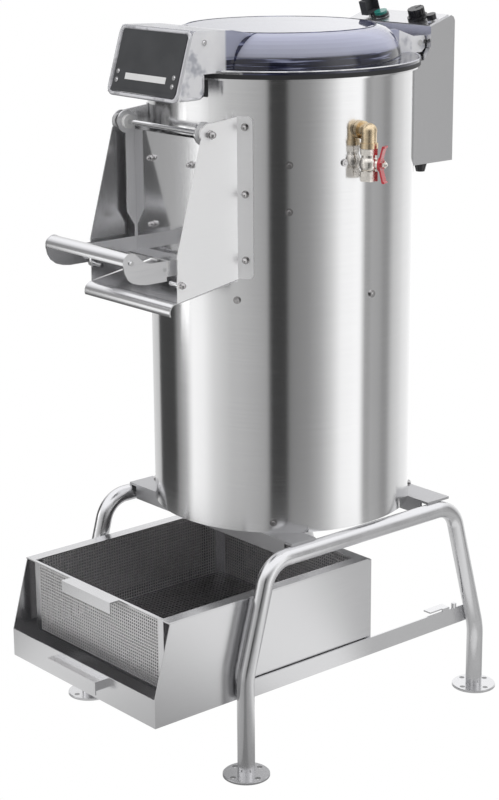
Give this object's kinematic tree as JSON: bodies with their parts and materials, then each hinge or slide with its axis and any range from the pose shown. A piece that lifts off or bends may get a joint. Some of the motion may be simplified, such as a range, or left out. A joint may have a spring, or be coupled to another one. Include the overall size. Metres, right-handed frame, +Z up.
{
  "type": "floor-standing electric potato peeler",
  "caption": "Round steel potato peeler on a tubular stand with a front chute door and handle, clear hinged lid, rear controls, side water valve, and a pull-out tray with a basket.",
  "frame": {"origin": "on the floor under the axis of the round drum, at the centre of the rectangle of the four outer floor bolt holes", "axes": "+Z up along the drum axis; -Y towards the front, where the chute, the door and the tray are; +X towards the side with the water valve"},
  "size_m": [0.5139, 0.75, 1.1793],
  "materials": {
    "stand": "satin stainless",
    "casing": "circumferential brushed stainless",
    "bright": "polished stainless",
    "sheet": "2B stainless sheet",
    "rubber": "matte",
    "abrasive": "coarse grit",
    "castiron": "hammered grey",
    "panel_grey": "fine grain",
    "black": "semi gloss",
    "green": "semi gloss",
    "white": "gloss",
    "red": "gloss",
    "brass": "cast",
    "nickel": "nickel plated",
    "clear": "clear moulded polycarbonate"
  },
  "bodies": {
    "base": {"frame_left": "stand", "frame_right": "stand", "foot_plates": "stand", "rail_left": "stand", "rail_right": "stand", "rail_stops": "stand", "crossbars": "stand", "base_plate": "sheet", "casing": "casing", "rim_seal": "rubber", "casing_screws": "bright", "chamber_floor": "sheet", "drain_pipe": "sheet", "liner": "abrasive", "bearing_housing": "castiron", "shaft_seal": "rubber", "belt": "rubber", "motor": "castiron", "motor_bracket": "sheet", "chute_frame": "sheet", "chute_seal": "rubber", "cheek_left": "sheet", "cheek_right": "sheet", "chute_floor": "sheet", "cheek_nuts": "bright", "hinge_rod": "bright", "latch_pins": "bright", "hinge_block": "black", "control_box": "sheet", "control_panel": "sheet", "cable_gland": "black", "elbow": "brass", "valve_body": "nickel"},
    "disc_rotor": {"disc": "abrasive", "disc_cap": "bright", "spindle": "bright", "driven_pulley": "castiron"},
    "motor_rotor": {"motor_pulley": "castiron"},
    "door": {"door_panel": "sheet", "door_bushes": "white", "door_nuts": "bright"},
    "handle": {"handle_grip": "sheet", "handle_arms": "sheet", "handle_screws": "bright"},
    "lid": {"lid": "clear", "hood_panel": "panel_grey", "hood_label": "white", "panel_screws": "bright", "hinge_pin": "bright"},
    "start_button": {"start_button": "green"},
    "stop_button": {"stop_button": "black"},
    "timer_knob": {"timer_knob": "black"},
    "button_cover": {"button_cover": "panel_grey"},
    "valve_handle": {"valve_handle": "red", "valve_stem": "nickel"},
    "tray": {"tray": "sheet"},
    "basket": {"basket_frame": "sheet", "basket_mesh": "sheet", "basket_floor": "sheet"}
  },
  "joints": [
    {"name": "disc_spin", "type": "hinge", "parent": "base", "child": "disc_rotor", "pos_m": [0, 0, 0.79], "axis": [0, 0, 1], "continuous": true},
    {"name": "motor_spin", "type": "hinge", "parent": "base", "child": "motor_rotor", "pos_m": [0, 0.118, 0.612], "axis": [0, 0, 1], "continuous": true},
    {"name": "door_swing", "type": "hinge", "parent": "base", "child": "door", "pos_m": [0, -0.24, 1.009], "axis": [-1, 0, 0], "range_deg": [0, 55]},
    {"name": "handle_lift", "type": "hinge", "parent": "door", "child": "handle", "pos_m": [0, -0.322, 0.812], "axis": [-1, 0, 0], "range_deg": [0, 30]},
    {"name": "lid_hinge", "type": "hinge", "parent": "base", "child": "lid", "pos_m": [0, 0.226, 1.113], "axis": [-1, 0, 0], "range_deg": [0, 65]},
    {"name": "start_press", "type": "slide", "parent": "base", "child": "start_button", "axis": [0, 0.3168, -0.9485], "range_m": [0, 0.003], "stiffness_N_per_m": 600},
    {"name": "stop_press", "type": "slide", "parent": "base", "child": "stop_button", "axis": [0, 0.3168, -0.9485], "range_m": [0, 0.0025], "stiffness_N_per_m": 600},
    {"name": "timer_turn", "type": "hinge", "parent": "base", "child": "timer_knob", "pos_m": [0.047, 0.26376, 1.1459], "axis": [0, 0.3168, -0.9485], "range_deg": [0, 300]},
    {"name": "cover_flip", "type": "hinge", "parent": "base", "child": "button_cover", "pos_m": [-0.054, 0.25965, 1.14875], "axis": [0, 0.9485, 0.3168], "range_deg": [0, 85]},
    {"name": "valve_turn", "type": "hinge", "parent": "base", "child": "valve_handle", "pos_m": [0.23617, -0.02942, 0.957], "axis": [0.9135, 0.4067, 0], "range_deg": [0, 90]},
    {"name": "tray_slide", "type": "slide", "parent": "base", "child": "tray", "axis": [0, -1, 0], "range_m": [-0.139, 0.15]},
    {"name": "basket_lift", "type": "slide", "parent": "tray", "child": "basket", "axis": [0, 0, 1], "range_m": [0, 0.044]}
  ],
  "couplings": [
    {"joint": "motor_spin", "follows": "disc_spin", "ratio": 3.2}
  ]
}
